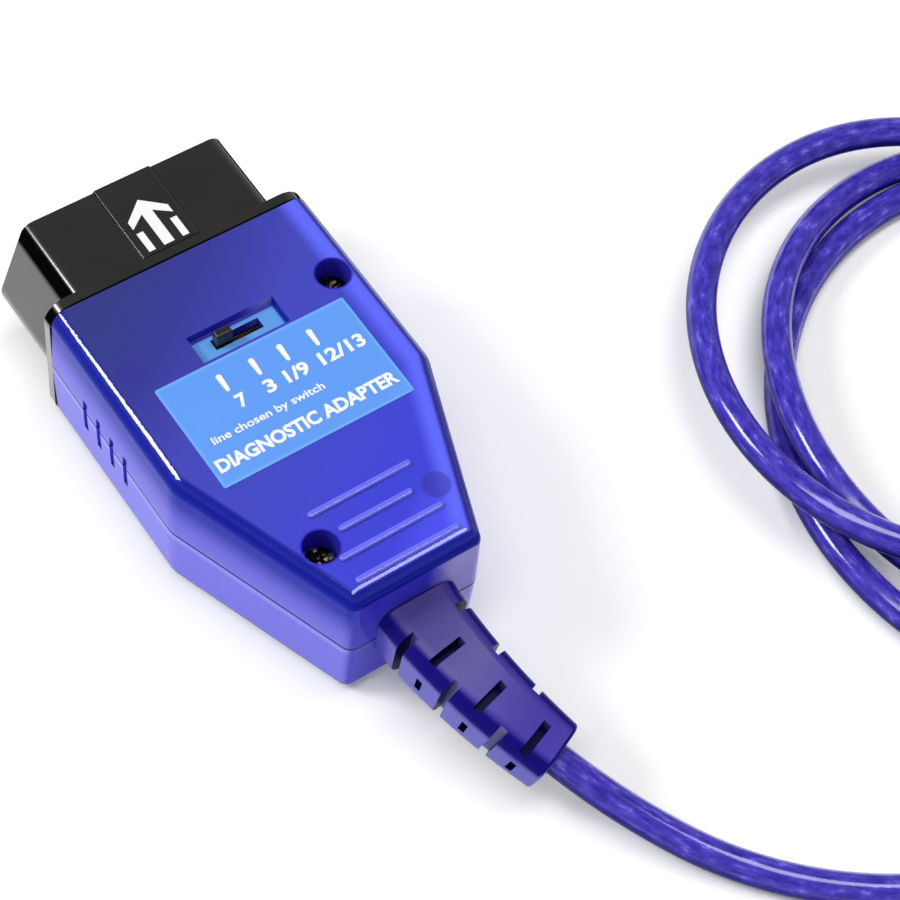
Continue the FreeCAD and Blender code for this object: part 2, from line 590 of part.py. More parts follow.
def small_parts():
    """Chips, crystal, capacitors, resistors, transistors and diodes on the board's upper side."""
    leaded_chip("usb_serial_chip", 0.0, SWITCH_Y - 12.5, 10.2, 5.3, 1.7, 14, 0.65)
    leaded_chip("comparator_chip", -2.6, SWITCH_Y - 22.0, 5.0, 3.9, 1.5, 4, 1.27)
    crystal = rounded_bar(4.6, 3.4, 1.6, -4.9, 4.9, 0)
    crystal.rotate(Vector(0, 0, 0), Vector(0, 0, 1), 90)
    crystal.translate(Vector(0.0, SWITCH_Y - 6.0, BOARD_TOP + 1.7))
    save("quartz_crystal", [crystal])
    can_low = BOARD_TOP + 0.8
    foot = block(3.6, SWITCH_Y - 22.0, BOARD_TOP, 4.4, 4.4, 0.8)
    save("electrolytic_capacitor", [join([foot, rod(3.6, SWITCH_Y - 22.0, can_low, can_low + 4.4, 2.0)])])
    resistors = []
    capacitors = []
    for index in range(5):
        y = SWITCH_Y - 15.5 - index * 1.9
        resistors += [block(side * 8.6, y, BOARD_TOP, 2.0, 1.2, 0.5) for side in (-1, 1)]
        x = (index - 2) * 3.4
        capacitors.append(block(x, SWITCH_Y + 4.6, BOARD_TOP, 2.0, 1.2, 0.9))
    save("chip_resistors", resistors)
    save("chip_capacitors", capacitors)
    transistors = []
    for index in range(3):
        x = (index - 1) * 4.0
        body = block(x, SWITCH_Y - 27.4, BOARD_TOP + FIT_GAP, 2.9, 1.3, 1.0)
        feet = [block(x + side * 0.95, SWITCH_Y - 28.2, BOARD_TOP, 0.4, 0.9, 0.5) for side in (-1, 1)]
        feet.append(block(x, SWITCH_Y - 26.6, BOARD_TOP, 0.4, 0.9, 0.5))
        transistors.append(join([body] + feet))
    save("transistors", transistors)
    save("diodes", [block(side * 7.2, SWITCH_Y - 10.4, BOARD_TOP, 2.6, 4.3, 2.0) for side in (-1, 1)])


def stickers():
    """The printed label on the top face and the small one round the switch's slot."""
    y_low = FRONT_Y - LABEL_BACK - LABEL_LENGTH
    y_high = FRONT_Y - LABEL_BACK
    half = LABEL_WIDTH / 2
    corners = ((half, y_low), (half, y_high), (-half, y_high), (-half, y_low))
    wire = rounded_wire(corners, (LABEL_ROUND,) * 4, lambda x, y: Vector(x, y, CASE_HEIGHT))
    save("main_label", [Part.Face(wire).extrude(Vector(0, 0, STICKER_THICKNESS))])
    patch = block(0, POCKET_Y, POCKET_TOP, SLOT_STICKER_LENGTH, SLOT_STICKER_WIDTH, STICKER_THICKNESS)
    save("slot_sticker", [patch.cut(block(0, SWITCH_Y, POCKET_TOP - 1, SLOT_LENGTH, SLOT_WIDTH, 3))])


def route_wire(points):
    """Straight runs joined by tangent arcs, each as large as its two runs allow. Prints the smallest radius."""
    vectors = [Vector(*point) for point in points]
    edges = []
    radii = []
    last = vectors[0]
    for before, here, after in zip(vectors, vectors[1:], vectors[2:]):
        back = before - here
        ahead = after - here
        reach = 0.45 * min(back.Length, ahead.Length)
        back.normalize()
        ahead.normalize()
        half_turn = (math.pi - back.getAngle(ahead)) / 2
        radius = reach / math.tan(half_turn)
        inward = (back + ahead).normalize()
        depth = radius / math.cos(half_turn) - radius
        start = here + back * reach
        end = here + ahead * reach
        edges.append(Part.LineSegment(last, start).toShape())
        edges.append(Part.Arc(start, here + inward * depth, end).toShape())
        radii.append(radius)
        last = end
    edges.append(Part.LineSegment(last, vectors[-1]).toShape())
    print("  bend radii", " ".join(format(radius, ".0f") for radius in radii))
    return Part.Wire(edges)


def tube(points, radius):
    """A round tube along a route."""
    wire = route_wire(points)
    way = Vector(*points[1]) - Vector(*points[0])
    section = Part.Face(Part.Wire(Part.makeCircle(radius, Vector(*points[0]), way)))
    solid = wire.makePipe(section)
    expected = math.pi * radius * radius * wire.Length
    print("  tube length", round(wire.Length, 1), "volume", round(solid.Volume, 1), "expected", round(expected, 1))
    return wire, solid


def place_on(wire, distance):
    """Where a route is after a distance: the point, its direction, and the sideways and upwards directions."""
    for edge in wire.OrderedEdges:
        if distance <= edge.Length:
            break
        distance -= edge.Length
    parameter = edge.getParameterByLength(min(distance, edge.Length))
    point = edge.valueAt(parameter)
    ahead = edge.tangentAt(parameter)
    side = Vector(0, 0, 1).cross(ahead).normalize()
    return point, ahead, side, ahead.cross(side)


def framed(shape, point, ahead, side, up):
    """Move a shape made about the origin, with its length along +Y, onto a place of the route."""
    matrix = FreeCAD.Matrix(-side.x, ahead.x, up.x, point.x, -side.y, ahead.y, up.y, point.y,
                            -side.z, ahead.z, up.z, point.z, 0, 0, 0, 1)
    return shape.transformGeometry(matrix)


def relief_section(wire, distance, share):
    """The strain relief's outline at a distance along the cable; share runs from 0 at the case to 1 at the end."""
    width = RELIEF_BASE_WIDTH + (RELIEF_END_WIDTH - RELIEF_BASE_WIDTH) * share
    height = RELIEF_BASE_HEIGHT + (RELIEF_END_HEIGHT - RELIEF_BASE_HEIGHT) * share
    point, ahead, side, up = place_on(wire, distance)
    corners = ((width / 2, -height / 2), (width / 2, height / 2), (-width / 2, height / 2), (-width / 2, -height / 2))
    return rounded_wire(corners, (RELIEF_ROUND,) * 4, lambda x, z: point + side * x + up * z)


def strain_relief(wire, cable):
    """A tapered boot round the cable. Its gaps are in turn a notch in both sides, and four windows."""
    start = LEAD_ROUTE[0][1]
    sections = [relief_section(wire, start + RELIEF_LENGTH * step / 6, step / 6) for step in range(7)]
    boot = Part.makeLoft(sections, True, False)
    end = place_on(wire, start + RELIEF_LENGTH)[0]
    end_face = min(boot.Faces, key=lambda face: (face.CenterOfMass - end).Length)
    boot = boot.makeFillet(RELIEF_END_ROUND, end_face.Edges)
    tools = []
    half = RELIEF_GAP_WIDTH / 2
    core = CABLE_DIAMETER / 2 + RELIEF_CORE_WALL
    for index in range(RELIEF_GAPS):
        share = 1 - RELIEF_GAP_PITCH * (index + 1) / RELIEF_LENGTH
        spot = place_on(wire, start + RELIEF_LENGTH * share)
        for side in (-1, 1):
            if index % 2:
                reach = sorted((side * RELIEF_NOTCH_START, side * RELIEF_BASE_WIDTH))
                pieces = [box(reach[0], reach[1], -half, half, -RELIEF_BASE_HEIGHT, RELIEF_BASE_HEIGHT)]
            else:
                reach = sorted((side * core, side * RELIEF_BASE_HEIGHT))
                slot_low = RELIEF_SLOT_OFFSET - RELIEF_SLOT_HALF
                slot_high = RELIEF_SLOT_OFFSET + RELIEF_SLOT_HALF
                pieces = [box(slot_low, slot_high, -half, half, reach[0], reach[1])]
                width = RELIEF_BASE_WIDTH + (RELIEF_END_WIDTH - RELIEF_BASE_WIDTH) * share
                reach = sorted((side * (width / 2 - 1), side * RELIEF_BASE_WIDTH))
                pieces.append(box(reach[0], reach[1], -half * 0.8, half * 0.8, -1.3, 1.3))
            tools += [framed(piece, *spot) for piece in pieces]
    collar_low = REAR_Y + WALL + DRAFT + FIT_GAP
    neck = rounded_bar(NECK_WIDTH, NECK_HEIGHT, RELIEF_ROUND, REAR_Y, collar_low, EXIT_HEIGHT)
    collar = rounded_bar(COLLAR_WIDTH, COLLAR_HEIGHT, RELIEF_ROUND, collar_low, collar_low + COLLAR_LENGTH,
                         EXIT_HEIGHT)
    relief = join([boot, neck, collar])
    relief = relief.cut(Part.makeCompound(tools))
    save("strain_relief", [relief.cut(cable).Solids[0]])


def wires():
    """The four conductors, from the stripped end of the cable to the board's underside."""
    start_y = LEAD_POINTS[0][1]
    offset = CABLE_DIAMETER / 2 - 2.5 * WIRE_RADIUS
    board_z = BOARD_BOTTOM - WIRE_RADIUS
    for index, colour in enumerate(("red", "white", "green", "black")):
        x = (index - 1.5) * WIRE_SPACING
        side = -1 if index < 2 else 1
        low = -1 if index % 3 else 1
        z = EXIT_HEIGHT + low * offset * 0.6
        start = (side * offset * 0.6, start_y, z)
        leave = (side * offset * 0.6, start_y + WIRE_REACH * 0.4, z)
        bend = (x, start_y + WIRE_REACH * 1.3, board_z - 0.1)
        end = (x, start_y + WIRE_REACH * 1.9, board_z)
        save(colour + "_wire", [tube((start, leave, bend, end), WIRE_RADIUS)[1]])


def coil():
    """The coil's outer shape: the discs of its turns together, less the room inside all of them."""
    reach = CABLE_DIAMETER / 2 + COIL_SIDE_ROOM
    discs = [rod(x, y, 0, COIL_HEIGHT, radius + reach) for x, y, radius in COIL_CIRCLES]
    hole = None
    for x, y, radius in COIL_CIRCLES:
        inner = rod(x, y, -1, COIL_HEIGHT + 1, radius - reach)
        hole = inner if hole is None else hole.common(inner)
    save("cable_coil", [join(discs).cut(hole)])


def usb_plug():
    """The USB plug, lying flat at the end of the cable."""
    entry = Vector(*TAIL_POINTS[-1])
    way = entry - Vector(*TAIL_POINTS[-2])
    turn = math.degrees(math.atan2(way.y, way.x)) - 90
    body_low = BOOT_LENGTH
    body_high = BOOT_LENGTH + USB_BODY_LENGTH
    body = block(0, (body_low + body_high) / 2, -USB_BODY_HEIGHT / 2, USB_BODY_WIDTH, USB_BODY_LENGTH, USB_BODY_HEIGHT)
    body = body.makeFillet(USB_BODY_ROUND, body.Edges)
    sections = []
    for y, width, height in ((0, BOOT_END, BOOT_END), (body_low + 1, BOOT_WIDTH, USB_BODY_HEIGHT - 1)):
        half_w = width / 2
        half_h = height / 2
        corners = ((half_w, -half_h), (half_w, half_h), (-half_w, half_h), (-half_w, -half_h))
        sections.append(rounded_wire(corners, (RELIEF_ROUND,) * 4, lambda x, z, y=y: Vector(x, y, z)))
    boot = Part.makeLoft(sections, True, True)
    shell_low = body_high - USB_SHELL_IN
    shell_high = body_high + USB_SHELL_OUT
    shell_box = box(-USB_SHELL_WIDTH / 2, USB_SHELL_WIDTH / 2, shell_low, shell_high,
                    -USB_SHELL_HEIGHT / 2, USB_SHELL_HEIGHT / 2)
    inner_half = USB_SHELL_WIDTH / 2 - USB_SHELL_SHEET
    inner_top = USB_SHELL_HEIGHT / 2 - USB_SHELL_SHEET
    shell = shell_box.cut(box(-inner_half, inner_half, shell_low - 1, shell_high + 1, -inner_top, inner_top))
    for side in (-1, 1):
        shell = shell.cut(block(side * USB_WINDOW_X, shell_high - USB_WINDOW_BACK, -USB_SHELL_HEIGHT,
                                USB_WINDOW, USB_WINDOW, 2 * USB_SHELL_HEIGHT))
    root = box(-inner_half, inner_half, shell_low, body_high, -inner_top, inner_top)
    tongue_top = -inner_top + TONGUE_HEIGHT
    tongue = box(-inner_half, inner_half, body_high - 1, shell_high - TONGUE_RECESS, -inner_top, tongue_top)
    contacts = []
    for x, length in CONTACTS:
        contacts.append(block(x, body_high + length / 2, tongue_top, CONTACT_WIDTH, length, CONTACT_THICKNESS))
    pieces = {
        "usb_plug_overmould": [join([body, boot]).cut(shell_box)],
        "usb_plug_shell": [shell],
        "usb_plug_insert": [join([root, tongue])],
        "usb_plug_contacts": contacts,
    }
    for node, solids in pieces.items():
        for solid in solids:
            solid.rotate(Vector(0, 0, 0), Vector(0, 0, 1), turn)
            solid.translate(entry)
        save(node, solids)


def build():
    """Every sub-part of the adapter, from the case outwards."""
    os.makedirs("parts", exist_ok=True)
    upper_shell()
    lower_shell()
    case_screws()
    upper_pins = pin_row(1)
    lower_pins = pin_row(-1)
    save("upper_row_pins", upper_pins)
    save("lower_row_pins", lower_pins)
    plug_housing(upper_pins + lower_pins)
    legs = terminals()
    circuit_board(legs)
    slide_switch(legs)
    small_parts()
    stickers()
    wires()
    lead_wire, lead = tube(LEAD_POINTS, CABLE_DIAMETER / 2)
    save("cable_lead", [lead])
    strain_relief(lead_wire, lead)
    coil()
    save("cable_tail", [tube(TAIL_POINTS, CABLE_DIAMETER / 2)[1]])
    usb_plug()
    for node, shape in sorted(PLACES.items()):
        limits = shape.BoundBox
        print(format(node, "24"), len(shape.Solids), shape.isValid(), round(shape.Volume, 1),
              [round(value, 2) for value in (limits.XMin, limits.XMax, limits.YMin, limits.YMax,
                                             limits.ZMin, limits.ZMax)])


build()
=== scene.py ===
import math
import bmesh
import bpy
from mathutils import Matrix, Vector


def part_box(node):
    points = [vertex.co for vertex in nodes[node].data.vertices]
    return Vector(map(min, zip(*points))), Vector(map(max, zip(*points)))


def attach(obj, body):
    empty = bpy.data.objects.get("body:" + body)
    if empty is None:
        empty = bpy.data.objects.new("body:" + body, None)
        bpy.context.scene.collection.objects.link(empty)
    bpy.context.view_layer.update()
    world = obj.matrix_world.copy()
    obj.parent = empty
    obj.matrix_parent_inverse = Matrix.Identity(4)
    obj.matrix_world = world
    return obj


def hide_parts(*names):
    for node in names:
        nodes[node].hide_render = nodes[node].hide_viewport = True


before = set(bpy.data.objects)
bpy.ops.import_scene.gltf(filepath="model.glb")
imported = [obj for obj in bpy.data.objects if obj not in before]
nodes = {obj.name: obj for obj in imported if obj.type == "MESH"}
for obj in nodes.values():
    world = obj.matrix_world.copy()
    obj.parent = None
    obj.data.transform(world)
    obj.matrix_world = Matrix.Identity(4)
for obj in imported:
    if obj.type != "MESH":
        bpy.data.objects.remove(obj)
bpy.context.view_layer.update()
scene = bpy.context.scene
MM = 0.001
BODY = "reader"

# Camera: where it looks from, how it is turned about its own axis, how far away it is and what it looks at in
# metres, and its lens in mm
VIEW_AZIMUTH = math.radians(-42.15)
VIEW_ELEVATION = math.radians(57.28)
VIEW_ROLL = math.radians(9.05)
VIEW_DISTANCE = 0.3463
VIEW_TARGET = Vector((0.0191, -0.0168, 0.0100))
LENS = 103.3
SENSOR = 36.0

# Studio, in metres: the floor, a hair below the object, and the lamps' distance and what they point at
FLOOR_SIZE = 6
FLOOR_MIDDLE = (0.05, -0.03, -0.0001)
LAMP_DISTANCE = 0.9
LAMP_TARGET = Vector((0.02, -0.02, 0.01))

# Cable: its diameter in metres, and its route in mm from the middle of the case's rear end at floor height.
# The model's tubes follow the same route.
CABLE_DIAMETER = 0.0044
CABLE_SIDES = 20
REAR_Y = -36.25
LEAD_ROUTE = (
    (0.0, 4.95, 12.3), (0.0, -4.55, 12.2), (1.7, -14.55, 10.8), (5.2, -24.45, 7.9), (10.2, -34.75, 4.8),
    (17.2, -46.05, 2.4), (27.0, -56.65, 2.2), (40.0, -64.85, 2.2), (55.0, -69.35, 2.2), (71.0, -70.65, 2.2),
    (87.0, -69.15, 2.2),
)
TAIL_ROUTE = (
    (125.5, -26.05, 8.2), (138.5, -15.55, 7.6), (149.0, -2.55, 5.4), (156.0, 11.95, 4.0), (159.5, 27.45, 4.0),
)

# Coil: the middle and the radius of each turn, the angles in degrees that it starts and ends at and that its
# points are apart, the height of its middle line on the floor, and how it rises where a turn lies on others
COIL_TURNS = ((103.8, -20.45, 45.5), (104.0, -12.05, 41.6), (93.0, -1.55, 37.6))
COIL_START = -85.0
COIL_END = 1020.0
COIL_STEP = 17.0
COIL_FLOOR = 2.2
CROSSING_RISE = 4.6
CROSSING_ANGLE = 517
CROSSING_WIDTH = 55
LAST_TURN_RISE = 6.6
LAST_TURN_ANGLE = 700
LAST_TURN_SLOPE = 110

# Case, in mm: closed posts and screw bores that show at the top, the joint of its halves and its height,
# where the sides start to run in and by how much for each mm of length, and half the board's width
POSTS = ((-15.5, 7.65), (8.7, -26.75))
POST_RADIUS = 2.0
SCREWS = ((15.5, 7.65), (-8.7, -26.75))
SCREW_BORE = 2.6
PARTING_HEIGHT = 12.3
CASE_HEIGHT = 23.9
KINK_Y = -9.35
SIDE_SLOPE = 0.374
BOARD_HALF_WIDTH = 15.0

# Case colours, with light and shade painted in: the walls from floor to top, and the top from its front left
# corner to its rear right one, darkest in front as painted shade of the board under it, with the way that
# runs on plan, where it starts and ends along that in mm, and how far clouds shift it
TOP_SHADING = (
    (0.0, (0.034, 0.041, 0.24)), (0.10, (0.039, 0.040, 0.31)), (0.34, (0.055, 0.062, 0.48)),
    (0.60, (0.055, 0.065, 0.55)), (0.97, (0.050, 0.057, 0.68)), (1.0, (0.075, 0.082, 0.85)),
)
# Painted light and shade of the walls by height: pale at the foot, a painted highlight just under the parting
# line, and painted shade under the top edge
WALL_SHADING = (
    (0.0, (0.28, 0.26, 0.85)), (0.10, (0.19, 0.18, 0.80)), (0.44, (0.19, 0.18, 0.80)),
    (0.50, (0.34, 0.33, 0.95)), (0.54, (0.19, 0.175, 0.76)), (0.66, (0.15, 0.135, 0.72)),
    (0.84, (0.012, 0.022, 0.42)),
)
TOP_WAY = (0.6, -0.8)
TOP_RUN = (-22.0, 34.0)
TOP_CLOUD_SHIFT = 6.0
# Painted light through the clear right-hand edge of the top
CLEAR_EDGE_LIGHT = (0.125, 0.150, 1.0)
POST_SHADE = (0.035, 0.030, 0.30)
# Painted shade on the rear wall's left, by the strain relief, and painted light on its right
REAR_SHADE = (0.050, 0.038, 0.62)
REAR_LIGHT = (0.46, 0.43, 1.0)
PARTING_DARK = (0.012, 0.012, 0.20)
PARTING_FADES = (0.38, 0.18)
# Painted shade on the rounded edge between the walls and the top
ROUNDED_EDGE_SHADE = (0.004, 0.010, 0.30)
# Painted highlight on the raised bars of the top
BAR_HIGHLIGHT = (0.17, 0.18, 0.88)
BORE_SHADE = (0.035, 0.030, 0.55)

# How level a face of the case is, from 0 on a wall to 1 on the top: where a wall gives way to the rounded
# edge, where the edge gives way to the top, and where gloss sets in
WALL_TO_EDGE = (0.10, 0.24)
EDGE_TO_TOP = (0.90, 0.985)
GLOSS_SETS_IN = (0.55, 0.78)

# Strain relief, in mm. Its grey fades from the first place of RELIEF_GREY to the second. A face across it is
# its rear end at the first place of RELIEF_REAR_FACE and the side of a gap from the second on. Its middle
# line sinks behind RELIEF_BEND_Y by the square of the distance, in metres, times RELIEF_SINKS. A level face
# up to the second height of WINDOW_FLOOR above the middle line is the floor of a window. The sides of the
# gaps and the floors of the windows are painted dark as shade.
RELIEF_GREY = (-36.0, -62.0)
RELIEF_REAR_FACE = (-62.5, -60.0)
RELIEF_MIDDLE = 12.25
RELIEF_BEND_Y = -38.0
RELIEF_SINKS = 8.8
WINDOW_FLOOR = (3.6, 3.1)

# Plug, in mm: the heights between which painted shade sets in on the top of its walls, the top of its raised
# pad, and the arrow and the two bars on the pad, measured from the middle of the plug's front
PLUG_SHADED_BAND = (19.2, 20.2)
PAD_TOP = 23.0
ARROW_OUTLINES = (
    ((-3.1, -7.0), (0.0, -4.3), (3.1, -7.0), (3.1, -8.4), (0.8, -6.7), (0.8, -12.6), (-0.8, -12.6),
     (-0.8, -6.7), (-3.1, -8.4)),
    ((-3.1, -9.2), (-2.1, -9.2), (-2.1, -12.6), (-3.1, -12.6)),
    ((2.1, -9.2), (3.1, -9.2), (3.1, -12.6), (2.1, -12.6)),
)

# Label, in mm: its paler rim, as distances in from its edge, and its print, measured from its left and rear
# edges. A number has its left and right ends, and a row of words has those, its base, its height and how
# much its strokes are thickened.
LABEL_NODE = "main_label"
LABEL_RIM = (0.6, 0.1)
TICK_SPOTS = (8.2, 13.1, 17.4, 22.0)
TICK_TOP = 14.7
TICK_LENGTH = 2.9
TICK_WIDTH = 0.85
TICK_SIDES = 20
TICK_NARROWING = 0.3
NUMBERS = (("7", 8.2, 9.6), ("3", 12.4, 13.9), ("1/9", 15.5, 19.0), ("12/13", 20.8, 27.6))
NUMBER_BASE = 9.3
NUMBER_HEIGHT = 2.0
NUMBER_THICKENING = 0.035
SMALL_ROW = ("line chosen by switch", 2.3, 19.1, 6.2, 1.15, 0.02)
LARGE_ROW = ("DIAGNOSTIC ADAPTER", 0.8, 28.0, 2.2, 1.95, 0.04)

# Print of every kind, in metres: how far it stands off, and how near its corners are joined
PRINT_LIFT = 0.00002
PRINT_MERGE = 0.000002

# Covers of the four conductors, and how much darker their darker tone is
WIRE_TONES = {
    "red_wire": (0.55, 0.02, 0.02),
    "white_wire": (0.80, 0.80, 0.78),
    "green_wire": (0.02, 0.35, 0.06),
    "black_wire": (0.02, 0.02, 0.02),
}
WIRE_SHADE = 0.85


def smooth_step(share):
    """0 to 1 with level ends."""
    share = min(max(share, 0.0), 1.0)
    return share * share * (3 - 2 * share)


# Cable route

def coil_height(angle):
    """Height of the cable's middle line: turn two rises over turn one where they cross, and turn three
    lies over both."""
    second = CROSSING_RISE * math.exp(-((angle - CROSSING_ANGLE) / CROSSING_WIDTH) ** 2)
    third = LAST_TURN_RISE * smooth_step((angle - LAST_TURN_ANGLE) / LAST_TURN_SLOPE)
    return COIL_FLOOR + second + third


def coil_points():
    """Points along the coil's turns, anticlockwise from its near side. Each turn keeps its own circle on the
    left and passes into the next one's on the right."""
    points = []
    count = round((COIL_END - COIL_START) / COIL_STEP)
    for index in range(count + 1):
        angle = COIL_START + (COIL_END - COIL_START) * index / count
        turns = (angle + 90) / 360
        turn = int(turns)
        share = smooth_step((turns - turn) / 0.5) if turn > 0 else 1.0
        low = COIL_TURNS[max(turn - 1, 0)]
        high = COIL_TURNS[min(turn, len(COIL_TURNS) - 1)]
        x, y, radius = (a + (b - a) * share for a, b in zip(low, high))
        way = math.radians(angle)
        points.append((x + radius * math.cos(way), y + radius * math.sin(way), coil_height(angle)))
    return points


def route_curve():
    """The cable's middle line: one smooth spline from inside the case to the USB plug."""
    data = bpy.data.curves.new("cable_route", "CURVE")
    data.dimensions = "3D"
    points = list(LEAD_ROUTE) + coil_points() + list(TAIL_ROUTE)
    spline = data.splines.new("NURBS")
    spline.points.add(len(points) - 1)
    for spot, point in zip(spline.points, points):
        x, y, z = point
        spot.co = (x * MM, (REAR_Y + y) * MM, z * MM, 1.0)
    spline.order_u = 3
    spline.use_endpoint_u = True
    spline.resolution_u = 8
    curve = bpy.data.objects.new("cable_route", data)
    scene.collection.objects.link(curve)
    return curve


def evaluated_mesh(source, name):
    """A plain mesh of what a curve, a text or a modifier makes."""
    graph = bpy.context.evaluated_depsgraph_get()
    mesh = bpy.data.meshes.new_from_object(source.evaluated_get(graph))
    mesh.name = name
    return mesh


def line_points(curve):
    """The points of a curve that has no bevel."""
    mesh = evaluated_mesh(curve, "route_points")
    points = [vertex.co.copy() for vertex in mesh.vertices]
    bpy.data.meshes.remove(mesh)
    return points


def tube_mesh(name, points, radius):
    """A closed round tube along points. Its map runs once round across, and in metres of length upwards."""
    mesh = bpy.data.meshes.new(name)
    work = bmesh.new()
    layer = work.loops.layers.uv.new("UVMap")
    rings = []
    lengths = [0.0]
    side = None
    for index, point in enumerate(points):
        before = points[max(index - 1, 0)]
        after = points[min(index + 1, len(points) - 1)]
        ahead = (after - before).normalized()
        if index:
            lengths.append(lengths[-1] + (point - points[index - 1]).length)
        if side is None:
            side = ahead.cross(Vector((0, 0, 1))).normalized()
        side = (side - ahead * side.dot(ahead)).normalized()
        up = ahead.cross(side)
        ring = []
        for step in range(CABLE_SIDES):
            angle = math.tau * step / CABLE_SIDES
            ring.append(work.verts.new(point + (side * math.cos(angle) + up * math.sin(angle)) * radius))
        rings.append(ring)
    for row, (near, far) in enumerate(zip(rings, rings[1:])):
        for step in range(CABLE_SIDES):
            beside = (step + 1) % CABLE_SIDES
            face = work.faces.new((near[step], near[beside], far[beside], far[step]))
            face.smooth = True
            across = (step, step + 1, step + 1, step)
            along = (row, row, row + 1, row + 1)
            for loop, u, v in zip(face.loops, across, along):
                loop[layer].uv = (u / CABLE_SIDES, lengths[v])
    work.faces.new(rings[0][::-1])
    work.faces.new(rings[-1])
    bmesh.ops.recalc_face_normals(work, faces=work.faces)
    work.to_mesh(mesh)
    work.free()
    tube = bpy.data.objects.new(name, mesh)
    scene.collection.objects.link(tube)
    return tube


# Camera, lights and floor

def place_camera():
    """Put the camera on its line of sight and turn it about that line."""
    data = bpy.data.cameras.new("camera")
    data.lens = LENS
    data.sensor_width = SENSOR
    data.clip_start = 0.01
    camera = bpy.data.objects.new("camera", data)
    scene.collection.objects.link(camera)
    back = Vector((
        math.sin(VIEW_AZIMUTH) * math.cos(VIEW_ELEVATION),
        -math.cos(VIEW_AZIMUTH) * math.cos(VIEW_ELEVATION),
        math.sin(VIEW_ELEVATION),
    ))
    level = (-back).cross(Vector((0, 0, 1))).normalized()
    above = level.cross(-back)
    right = level * math.cos(VIEW_ROLL) + above * math.sin(VIEW_ROLL)
    up = above * math.cos(VIEW_ROLL) - level * math.sin(VIEW_ROLL)
    turn = Matrix((right, up, back)).transposed().to_4x4()
    camera.matrix_world = Matrix.Translation(VIEW_TARGET + back * VIEW_DISTANCE) @ turn
    scene.camera = camera


def soft_box(name, way, length, width, power):
    """A rectangular lamp in a direction from the object, its length along X."""
    light = bpy.data.lights.new(name, "AREA")
    light.shape = "RECTANGLE"
    light.size = length
    light.size_y = width
    light.energy = power
    lamp = bpy.data.objects.new(name, light)
    lamp.location = LAMP_TARGET + Vector(way).normalized() * LAMP_DISTANCE
    lamp.rotation_euler = (LAMP_TARGET - lamp.location).to_track_quat("-Z", "Y").to_euler()
    scene.collection.objects.link(lamp)


def lay_floor():
    """A matt pale floor that gives off a little light."""
    bpy.ops.mesh.primitive_plane_add(size=FLOOR_SIZE, location=FLOOR_MIDDLE)
    floor = bpy.context.object
    floor.name = "studio_floor"
    material, shader = new_material("studio_white")
    set_shader(shader, Base_Color=(0.93, 0.93, 0.93, 1), Roughness=0.7, Specular_IOR_Level=0.1,
               Emission_Color=(1.0, 1.0, 1.0, 1), Emission_Strength=0.18)
    floor.data.materials.append(material)


def surroundings():
    """A grey world, palest a little above the horizon and darkest overhead."""
    world = bpy.data.worlds.new("studio")
    world.use_nodes = True
    tree = world.node_tree
    place = tree.nodes.new("ShaderNodeTexCoord")
    split = tree.nodes.new("ShaderNodeSeparateXYZ")
    shade = tree.nodes.new("ShaderNodeValToRGB")
    fill_ramp(shade, (0.0, (0.75, 0.75, 0.76)), (0.35, (0.85, 0.85, 0.86)), (0.75, (0.30, 0.30, 0.31)))
    tree.links.new(place.outputs["Generated"], split.inputs["Vector"])
    tree.links.new(split.outputs["Z"], shade.inputs["Fac"])
    tree.links.new(shade.outputs["Color"], tree.nodes["Background"].inputs["Color"])
    tree.nodes["Background"].inputs["Strength"].default_value = 0.42
    scene.world = world


def studio():
    """The floor, a square key lamp from the left, a long strip overhead, and the surroundings."""
    lay_floor()
    surroundings()
    soft_box("key", way=(-0.62, 0.42, 0.66), length=0.26, width=0.26, power=3.6)
    soft_box("overhead", way=(0.0, -0.06, 0.99), length=1.0, width=0.27, power=5.6)
    scene.view_settings.view_transform = "Standard"


# Materials

def new_material(name):
    """A material that has one shader, and that shader."""
    material = bpy.data.materials.new(name)
    material.use_nodes = True
    return material, material.node_tree.nodes["Principled BSDF"]


def set_shader(shader, **values):
    """Set a shader's sockets, named with underscores for spaces."""
    for name, value in values.items():
        shader.inputs[name.replace("_", " ")].default_value = value


def fill_ramp(node, *stops):
    """Give a colour ramp its stops, in order of place."""
    elements = node.color_ramp.elements
    for element, (place, colour) in ((elements[0], stops[0]), (elements[-1], stops[-1])):
        element.position = place
        element.color = (*colour, 1.0)
    for place, colour in stops[1:-1]:
        elements.new(place).color = (*colour, 1.0)


